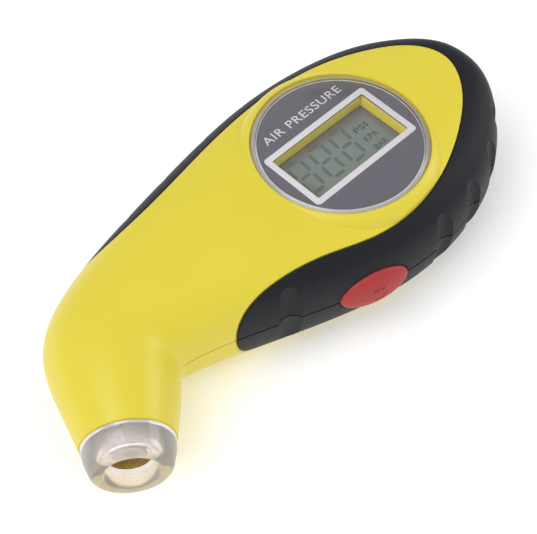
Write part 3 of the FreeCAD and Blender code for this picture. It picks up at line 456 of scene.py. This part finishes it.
digit_width = 3.7 * MM
digit_height = 8.6 * MM
segment_width = 0.86 * MM
digit_places = [-9.75 * MM, -3.65 * MM, 2.45 * MM]
digit_level = 0.35 * MM
digit_lean = 0.10
segment_thickness = 0.015 * MM
segment_top = lcd_top + 0.02 * MM


def segment(height, width, x, y):
    """One bar of a digit: a thin plate with cut corners."""
    bpy.ops.object.select_all(action="DESELECT")
    bpy.ops.mesh.primitive_plane_add(size=1, location=(x, y, 0))
    bpy.context.object.scale = (width, height, 1)
    bar = begin("segment")
    pick(bar, "VERT", lambda v: True)
    bpy.ops.mesh.bevel(offset=0.42 * segment_width, segments=1, affect="VERTICES")
    bpy.ops.object.mode_set(mode="OBJECT")
    return bar


half = digit_height / 2
corner_gap = segment_width * 1.1
lean = Matrix(((1, digit_lean, 0, 0), (0, 1, 0, 0), (0, 0, 1, 0), (0, 0, 0, 1)))
bars = []
for place in digit_places:
    start = len(bars)
    for y in (-half, 0, half):
        bars.append(segment(segment_width, digit_width - corner_gap, 0, y))
    for x in (-digit_width / 2, digit_width / 2):
        for y in (-half / 2, half / 2):
            bars.append(segment(half - corner_gap, segment_width, x, y))
    digit_centre = (axis_x + place, axis_y + digit_level, segment_top)
    for bar in bars[start:]:
        bar.data.transform(Matrix.Translation(digit_centre) @ lean)
bpy.ops.object.select_all(action="DESELECT")
for bar in bars:
    bar.select_set(True)
bpy.context.view_layer.objects.active = bars[0]
bpy.ops.object.join()
digits = bpy.context.object
digits.name = "display_digits"
thicken(digits, segment_thickness)
paint(settle(digits), ghost)

unit_column = 8.05 * MM
unit_length = 3.6 * MM
unit_height = 1.5 * MM
for words, y in (("PSI", 1.75 * MM), ("KPA", -1.3 * MM), ("BAR", -4.2 * MM)):
    unit = lettering(f"display_unit_{words.lower()}", words,
                     Vector((axis_x + unit_column, axis_y + y, segment_top - 0.01 * MM)),
                     unit_length, unit_height, segment_thickness, weight=0.02)
    paint(settle(unit), dark_ghost)

# ---------------------------------------------------------------- lens
# A clear moulded cover with a slightly frosted bevel round a very slightly domed face; the bevel's pale, partly
# opaque finish is painted brightness for the light it catches. Its skirt is pressed into the ring groove round the
# dial.

bevel_width = lens_radius - dial_radius
bevel_drop = 0.5 * MM
lens_foot = dial_top + 0.14 * MM
skirt_gap = 0.06 * MM
edge_round = 0.09 * MM
dome_rise = 0.22 * MM
dome_rings = 6

bpy.ops.object.select_all(action="DESELECT")
plate = lens_high.z - bevel_drop - lens_foot
bpy.ops.mesh.primitive_cylinder_add(vertices=192, radius=lens_radius, depth=plate,
                                    location=(axis_x, axis_y, lens_foot + plate / 2))
lens = begin("clear_lens")
pick(lens, "FACE", lambda face: face.normal.z > 0.9)
bpy.ops.mesh.inset(thickness=bevel_width)
bpy.ops.transform.translate(value=(0, 0, bevel_drop))
for ring in range(dome_rings):
    rise = dome_rise * ((ring + 1) ** 0.5 - ring ** 0.5) / dome_rings ** 0.5
    bpy.ops.mesh.inset(thickness=dial_radius * 0.9 / dome_rings)
    bpy.ops.transform.translate(value=(0, 0, rise))
pick(lens, "FACE", lambda face: face.normal.z < -0.9)
bpy.ops.mesh.inset(thickness=bevel_width - skirt_gap)
pick(lens, "FACE", lambda face: face.normal.z < -0.9 and len(face.verts) == 4)
bpy.ops.mesh.extrude_region_move(
    TRANSFORM_OT_translate={"value": (0, 0, lens_low.z - lens_foot)})
pick(lens, "EDGE", lambda edge: edge.calc_face_angle(0) > math.radians(20)
     and min(v.co.z for v in edge.verts) > lens_foot)
bpy.ops.mesh.bevel(offset=edge_round, segments=2, affect="EDGES")


def see_through(finish, tint):
    """Let the lamps' light pass straight through a clear piece."""
    path = finish.add("ShaderNodeLightPath", out="Is Shadow Ray")
    open_way = finish.add("ShaderNodeBsdfTransparent", None, {"Color": tint})
    shader = Value(finish, finish.shader.outputs[0])
    mixed = finish.add("ShaderNodeMixShader", None, {0: path, 1: shader, 2: open_way})
    output = finish.tree.nodes["Material Output"]
    finish.tree.links.new(mixed.socket, output.inputs["Surface"])
    return finish


clear = Finish("clear_acrylic", Base_Color=(0.985, 0.985, 0.985, 1), IOR=1.49,
               Transmission_Weight=1.0)
clear.drive(Roughness=0.012 + 0.03 * clear.between(clear.noise(5 * MM, 3.0), 0.5, 0.9))
see_through(clear, grey(0.92))
paint(settle(lens), clear)
# painted brightness: a pale white, partly opaque share on the bevel lightens it as if it caught the light
frost_and_brightening = Finish("frosted_acrylic_painted_bright", Base_Color=(0.97, 0.95, 0.95, 1), IOR=1.49,
                 Transmission_Weight=0.66)
frost_and_brightening.drive(Roughness=0.08 + 0.14 * frost_and_brightening.noise(1.5 * MM, 2.0))
see_through(frost_and_brightening, grey(0.85))
lens.data.materials.append(frost_and_brightening.material)
for face in lens.data.polygons:
    middle = face.center - Vector((axis_x, axis_y, 0))
    if middle.xy.length > dial_radius + 0.05 * MM:
        face.material_index = 1
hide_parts("lens")

# ---------------------------------------------------------------- button
# One red soft key: an oval dome that stands proud of the near side, with a raised start mark.
# Its flange is caught behind the shells, and it slides straight in.

press = Vector(next(j for j in frame["joints"] if j["name"] == "button_press")["axis"])
outwards = -press
upwards = Vector((0, 0, 1))
along = upwards.cross(outwards)


def span(node, direction):
    """How far a CAD node reaches along a direction, lowest and highest."""
    reaches = [v.co.dot(direction) for v in nodes[node].data.vertices]
    return min(reaches), max(reaches)


red = Finish("red_key", IOR=1.45, Specular_IOR_Level=0.35)
red_grain = red.noise(0.2 * MM, 3.0)
red_skin = red.bump(red_grain, 0.02 * MM, 0.4, red.soft_edges(0.3 * MM))
red.drive(Base_Color=red.blend(red.noise(6 * MM), (0.440, 0.042, 0.043, 1),
                               (0.480, 0.052, 0.053, 1)),
          Roughness=0.42 + 0.16 * red.noise(0.7 * MM), Normal=red_skin)
paint(nodes["button_cap"], red)

button_ends = span("button_cap", along)
button_place = (along * (sum(button_ends) / 2) + outwards * span("button_cap", outwards)[1]
                + upwards * part_line)
mark_radius = 1.7 * MM
mark_ridge = 0.24 * MM
mark_sink = 0.08 * MM
dome_height = 2.3 * MM
dome_half = (7.8 * MM, 4.6 * MM)

bpy.ops.object.select_all(action="DESELECT")
bpy.ops.mesh.primitive_torus_add(major_radius=mark_radius, minor_radius=mark_ridge,
                                 major_segments=64, minor_segments=12)
mark = begin("button_mark")
pick(mark, "FACE", lambda face: face.calc_center_median().y > 0.86 * mark_radius)
bpy.ops.mesh.delete(type="FACE")
bpy.ops.object.mode_set(mode="OBJECT")
bpy.ops.object.select_all(action="DESELECT")
bpy.ops.mesh.primitive_cube_add(size=1, location=(0, mark_radius * 0.85, 0))
bpy.context.object.scale = (mark_ridge * 1.8, mark_radius * 1.3, mark_ridge * 2)
stroke = begin("stroke")
pick(stroke, "EDGE", lambda edge: True)
bpy.ops.mesh.bevel(offset=mark_ridge * 0.6, segments=3, affect="EDGES")
bpy.ops.object.mode_set(mode="OBJECT")
mark.select_set(True)
bpy.context.view_layer.objects.active = mark
bpy.ops.object.join()
for vertex in mark.data.vertices:
    spot = (vertex.co.x / dome_half[0]) ** 2 + (vertex.co.y / dome_half[1]) ** 2
    vertex.co.z += dome_height * (math.sqrt(1 - spot) - 1) - mark_sink
mark.data.transform(frame_at(button_place, along, upwards, outwards))
paint(settle(mark, "button", angle=60), red)

# ---------------------------------------------------------------- clear nozzle cap
# A thick clear ring moulded in acrylic, lit from behind by the small lamp. It is turned to a
# rounded tip with a funnel that leads the valve stem in, and its flange is caught in the shells.

mouth = next(m for m in frame["record"]["mounts"] if m["name"] == "valve_stem_mouth")
mouth_depth = 0.4 * MM
nozzle_axis = Vector(mouth["axis"])
end_face = Vector(mouth["pos_m"]) - nozzle_axis * mouth_depth


def lathe(name, outline, steps=144):
    """A turned piece: one corner drawn along an outline of (radius, height) in mm, and spun."""
    bpy.ops.object.select_all(action="DESELECT")
    bpy.ops.mesh.primitive_plane_add(size=MM)
    item = bpy.context.object
    item.name = name
    bpy.ops.object.mode_set(mode="EDIT")
    bpy.ops.mesh.select_mode(type="VERT")
    bpy.ops.mesh.select_all(action="SELECT")
    bpy.ops.mesh.merge(type="CENTER")
    bpy.ops.mesh.select_all(action="SELECT")
    radius, height = outline[0]
    bpy.ops.transform.translate(value=(radius * MM, 0, height * MM))
    for before, after in zip(outline, outline[1:]):
        step = ((after[0] - before[0]) * MM, 0, (after[1] - before[1]) * MM)
        bpy.ops.mesh.extrude_region_move(TRANSFORM_OT_translate={"value": step})
    bpy.ops.mesh.select_all(action="SELECT")
    bpy.ops.mesh.spin(steps=steps, angle=2 * math.pi, axis=(0, 0, 1), center=(0, 0, 0))
    bpy.ops.mesh.select_all(action="SELECT")
    bpy.ops.mesh.remove_doubles(threshold=0.001 * MM)
    bpy.ops.mesh.normals_make_consistent(inside=False)
    bpy.ops.object.mode_set(mode="OBJECT")
    return item


bore = mouth["dims"]["r_mm"]
cap_outline = [
    (4.85, -6.0), (8.2, -6.0), (8.2, -4.7), (7.42, -4.7), (7.42, 0.06), (9.02, 0.06), (9.12, 0.18),
    (9.10, 1.0), (8.95, 2.1), (8.66, 3.3), (8.30, 4.5), (8.02, 5.3), (7.78, 5.75), (7.42, 6.12),
    (6.98, 6.34), (6.5, 6.4), (5.95, 6.38), (5.55, 6.22), (5.32, 5.92), (5.12, 5.3), (4.86, 4.5),
    (4.62, 3.82), (4.44, 3.52), (bore + 0.14, 3.42), (bore, 3.25), (bore, 2.86), (4.85, 2.86),
    (4.85, -6.0)]
tip = lathe("nozzle_clear_cap", cap_outline)
tip.data.transform(frame_at(end_face, upwards.cross(nozzle_axis), upwards, nozzle_axis))
milky = Finish("milky_acrylic", IOR=1.38, Transmission_Weight=0.75)
milky_depth = milky.add("ShaderNodeVectorMath", {"operation": "SUBTRACT"},
                        {0: milky.place, 1: end_face})
painted_glow_depth = milky.add("ShaderNodeVectorMath", {"operation": "DOT_PRODUCT"},
                        {0: milky_depth, 1: nozzle_axis}, out="Value")
# painted reflection: towards the tip the cap turns peach, for the brass sleeve and yellow shell seen reflected in
# it
milky.drive(Base_Color=milky.blend(milky.between(painted_glow_depth, 3.5 * MM, 6.2 * MM),
                                   (0.98, 0.945, 0.95, 1), (0.97, 0.87, 0.74, 1)),
            Roughness=0.05 + 0.10 * milky.noise(2.5 * MM, 2.0),
            Normal=milky.bump(milky.noise(0.6 * MM), 0.01 * MM, 0.3))
see_through(milky, (0.93, 0.90, 0.88, 1))
paint(settle(tip), milky)
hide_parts("nozzle_cap")

# ---------------------------------------------------------------- valve sleeve, seal and pin
# A turned sleeve, nickel plated outside and bare brass in its bore, holds a moulded rubber seal
# that closes on the valve's rim. A brass pin on a pierced disc opens the valve's core.


def turned_metal(name, outer, inner, bore_radius, pitch):
    """Lathe-turned metal whose colour changes between its bore and its outside."""
    metal = Finish(name, Metallic=0.7)
    local = metal.add("ShaderNodeVectorMath", {"operation": "SUBTRACT"},
                      {0: metal.place, 1: end_face})
    depth = metal.add("ShaderNodeVectorMath", {"operation": "DOT_PRODUCT"},
                      {0: local, 1: nozzle_axis}, out="Value")
    reach = metal.add("ShaderNodeVectorMath", {"operation": "LENGTH"}, {0: local}, out="Value")
    radius = (reach * reach - depth * depth).root()
    rings = metal.add("ShaderNodeMath", {"operation": "SINE"}, {0: depth * (2 * math.pi / pitch)})
    colour = metal.blend(metal.between(radius, bore_radius, bore_radius + 0.15 * MM), inner, outer)
    return metal.drive(Base_Color=metal.blend(metal.noise(1.5 * MM) * 0.25, colour, grey(0.30)),
                       Roughness=0.22 + 0.14 * metal.noise(0.6 * MM),
                       Normal=metal.bump(rings, 0.006 * MM, 0.5))


paint(nodes["valve_sleeve"], turned_metal("nickel_and_brass", (0.50, 0.49, 0.47, 1),
                                          (0.98, 0.72, 0.22, 1), (bore + 0.1) * MM, 0.35 * MM))
paint(nodes["depressor_pin"], turned_metal("pin_brass", (0.80, 0.60, 0.30, 1),
                                           (0.72, 0.53, 0.27, 1), 0.7 * MM, 0.2 * MM))

black_rubber = Finish("black_rubber", IOR=1.5, Specular_IOR_Level=0.3)
black_rubber.drive(Base_Color=black_rubber.blend(black_rubber.noise(0.5 * MM), grey(0.014),
                                                 grey(0.030)),
                   Roughness=0.55 + 0.2 * black_rubber.noise(0.3 * MM),
                   Normal=black_rubber.bump(black_rubber.noise(0.15 * MM), 0.01 * MM, 0.4))
paint(nodes["valve_seal"], black_rubber)

# ---------------------------------------------------------------- nozzle lamp and its leads
# A clear white lamp behind the nozzle's cap lights the valve. Two thin insulated leads, soldered
# to the edge of the board, run along the inside of the shell to it.

epoxy = Finish("clear_epoxy", IOR=1.52, Transmission_Weight=0.7, Specular_IOR_Level=0.5)
epoxy.drive(Base_Color=epoxy.blend(epoxy.noise(0.8 * MM), (0.90, 0.92, 0.90, 1),
                                   (0.96, 0.97, 0.93, 1)),
            Roughness=0.05 + 0.08 * epoxy.noise(0.5 * MM))
paint(nodes["nozzle_led"], epoxy)

insulation = Finish("lead_insulation", IOR=1.5, Specular_IOR_Level=0.4)
insulation.drive(Base_Color=insulation.blend(insulation.noise(3 * MM), (0.50, 0.030, 0.025, 1),
                                             (0.62, 0.045, 0.035, 1)),
                 Roughness=0.38 + 0.15 * insulation.noise(0.6 * MM))
paint(nodes["led_leads"], insulation)

# ---------------------------------------------------------------- air line and sensor
# A cloudy silicone tube is pushed over the barbs of the sleeve and of the pressure sensor, a
# small moulded can that is soldered under the board.

silicone = Finish("cloudy_silicone", IOR=1.43, Transmission_Weight=0.35, Specular_IOR_Level=0.4)
silicone.drive(Base_Color=silicone.blend(silicone.noise(4 * MM), (0.72, 0.72, 0.68, 1),
                                         (0.84, 0.84, 0.80, 1)),
               Roughness=0.34 + 0.2 * silicone.noise(0.8 * MM))
paint(nodes["air_tube"], silicone)


def moulded(name, first, second, roughness, grain=0.3 * MM, edge=0.15 * MM):
    """Plain moulded plastic: cloudy colour, fine grain and softened edges."""
    plastic = Finish(name, IOR=1.48, Specular_IOR_Level=0.4)
    skin = plastic.bump(plastic.noise(grain, 3.0), 0.015 * MM, 0.35, plastic.soft_edges(edge))
    return plastic.drive(Base_Color=plastic.blend(plastic.noise(5 * MM), first, second),
                         Roughness=roughness + 0.14 * plastic.noise(2 * grain), Normal=skin)


paint(nodes["pressure_sensor"], moulded("sensor_case", grey(0.33), grey(0.40), 0.35))

# ---------------------------------------------------------------- circuit board
# A green glass-fibre board with copper tracks under its varnish. The controller sits on it
# under a round drop of black resin, and four screws hold it to posts of the front shell.

board_centre = (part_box("main_board")[0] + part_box("main_board")[1]) / 2
laminate = Finish("board_laminate", IOR=1.5, Specular_IOR_Level=0.5, Coat_Weight=0.3,
                  Coat_Roughness=0.15)
grid = laminate.add("ShaderNodeMapping", None,
                    {"Vector": laminate.place, "Location": -board_centre})
tracks = laminate.add("ShaderNodeTexBrick", {"offset": 0.37, "squash": 1.6, "squash_frequency": 3},
                      {"Vector": grid, "Scale": 1.0, "Mortar Size": 0.16 * MM,
                       "Mortar Smooth": 0.2, "Brick Width": 5.2 * MM, "Row Height": 1.3 * MM},
                      out="Fac")
varnish = laminate.blend(laminate.noise(3 * MM), (0.010, 0.105, 0.045, 1), (0.016, 0.140, 0.060, 1))
laminate.drive(Base_Color=laminate.blend(tracks, varnish, (0.045, 0.230, 0.090, 1)),
               Roughness=0.30 + 0.15 * laminate.noise(0.8 * MM),
               Normal=laminate.bump(tracks, 0.03 * MM, 0.6))
paint(nodes["main_board"], laminate)

paint(nodes["controller_chip"], moulded("black_resin", grey(0.010), grey(0.022), 0.22, 1.2 * MM,
                                        0.4 * MM))


def plated(name, first, second, roughness, brush):
    """Plated or rolled metal with fine brush marks along X."""
    metal = Finish(name, Metallic=1.0)
    stretched = metal.add("ShaderNodeMapping", None,
                          {"Vector": metal.place, "Scale": (0.08, 1.0, 1.0)})
    marks = metal.noise(brush, 3.0, stretched)
    return metal.drive(Base_Color=metal.blend(metal.noise(2 * MM), first, second),
                       Roughness=roughness + 0.16 * marks,
                       Normal=metal.bump(marks, 0.006 * MM, 0.5, metal.soft_edges(0.12 * MM)))


zinc = plated("zinc_plate", (0.60, 0.61, 0.62, 1), (0.72, 0.72, 0.70, 1), 0.24, 0.2 * MM)
paint(nodes["board_screws"], zinc)

# ---------------------------------------------------------------- display carrier
# An open plastic frame holds the display over its light panel. Two striped rubber strips
# carry the signals from the board's pads to the glass.

paint(nodes["lcd_holder"], moulded("carrier_plastic", grey(0.62), grey(0.70), 0.40))

light_panel = Finish("light_panel", IOR=1.49, Transmission_Weight=0.3, Specular_IOR_Level=0.4)
light_panel.drive(Base_Color=light_panel.blend(light_panel.noise(2 * MM), grey(0.76), grey(0.86)),
                  Roughness=0.30 + 0.2 * light_panel.noise(0.4 * MM))
paint(nodes["backlight_panel"], light_panel)

zebra = Finish("striped_rubber", IOR=1.45, Specular_IOR_Level=0.25)
stripe = zebra.add("ShaderNodeMath", {"operation": "SINE"},
                   {0: zebra.part("X") * (2 * math.pi / (0.36 * MM))})
zebra.drive(Base_Color=zebra.blend(zebra.between(stripe, -0.3, 0.3), (0.62, 0.33, 0.32, 1),
                                   (0.030, 0.028, 0.030, 1)),
            Roughness=0.55 + 0.15 * zebra.noise(0.3 * MM))
for name in ("zebra_strip_far", "zebra_strip_near"):
    paint(nodes[name], zebra)

# ---------------------------------------------------------------- switch
# A small square snap switch under the board's near edge. The button's rib pushes its round
# plunger, which works in a bore of the switch's case.

paint(nodes["tact_switch"], moulded("switch_case", grey(0.016), grey(0.028), 0.38))
paint(nodes["switch_plunger"], moulded("switch_plunger_plastic", (0.26, 0.23, 0.19, 1),
                                       (0.32, 0.29, 0.24, 1), 0.34))

# ---------------------------------------------------------------- coin cell and contacts
# One steel button cell lies in the cup of the rear shell. A flat leaf touches its crown and a
# strip stands against its rim; both are bent from nickel-plated spring strip.

cell = plated("cell_steel", (0.66, 0.66, 0.64, 1), (0.74, 0.74, 0.72, 1), 0.20, 0.12 * MM)
paint(nodes["coin_cell"], cell)
spring = plated("spring_strip", (0.66, 0.62, 0.54, 1), (0.74, 0.70, 0.62, 1), 0.26, 0.15 * MM)
for name in ("minus_contact", "plus_contact"):
    paint(nodes[name], spring)

# ---------------------------------------------------------------- housing screws
# Four pan-head steel screws with cross recesses, zinc plated like those of the board. They are
# sunk in counterbores of the rear shell and cut into blind posts of the front shell.

paint(nodes["housing_screws"], zinc)

# ---------------------------------------------------------------- battery cap
# A dark bayonet cap turned by a coin in its slot. The word and the bent arrow that show the
# way to open it are moulded slightly raised on its face.

cap_plastic = moulded("cap_plastic", (0.018, 0.020, 0.024, 1), (0.026, 0.028, 0.033, 1), 0.44)
paint(nodes["battery_cap"], cap_plastic)
cap_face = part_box("battery_cap")[0].z
mark_height = 0.2 * MM
mark_foot = cap_face + 0.05 * MM
word_below = 6.2 * MM
word_length = 9.0 * MM
word_height = 2.2 * MM
face_down = Matrix.Rotation(math.pi, 4, "X")
open_word = lettering("cap_lettering", "OPEN",
                      Vector((axis_x, axis_y - word_below, mark_foot - mark_height / 2)),
                      word_length, word_height, mark_height, face_down)
paint(settle(open_word, "battery_cover"), cap_plastic)

arrow_radius = 8.6 * MM
arrow_width = 0.8 * MM
arrow_sweep = math.radians(80)
arrow_start = math.radians(50)
head_size = 1.4 * MM
bpy.ops.object.select_all(action="DESELECT")
bpy.ops.mesh.primitive_plane_add(size=1, location=(arrow_radius, 0, 0))
bpy.context.object.scale = (arrow_width, 0.2 * MM, 1)
arrow = begin("cap_arrow")
pick(arrow, "EDGE", lambda edge: all(v.co.y > 0 for v in edge.verts))
bpy.ops.mesh.spin(steps=24, angle=arrow_sweep, axis=(0, 0, 1), center=(0, 0, 0))
bpy.ops.mesh.select_all(action="SELECT")
bpy.ops.mesh.extrude_region_move(TRANSFORM_OT_translate={"value": (0, 0, -mark_height)})
bpy.ops.mesh.select_all(action="SELECT")
bpy.ops.mesh.normals_make_consistent(inside=False)
bpy.ops.object.mode_set(mode="OBJECT")
bpy.ops.object.select_all(action="DESELECT")
bpy.ops.mesh.primitive_cone_add(vertices=3, radius1=head_size, radius2=head_size - mark_height,
                                depth=mark_height, rotation=(0, 0, math.pi),
                                location=(arrow_radius, -head_size / 2, -mark_height / 2))
begin("arrow_head")
arrow.select_set(True)
bpy.context.view_layer.objects.active = arrow
bpy.ops.object.join()
arrow.data.transform(Matrix.Translation((axis_x, axis_y, mark_foot))
                     @ Matrix.Rotation(arrow_start, 4, "Z"))
paint(settle(arrow, "battery_cover"), cap_plastic)
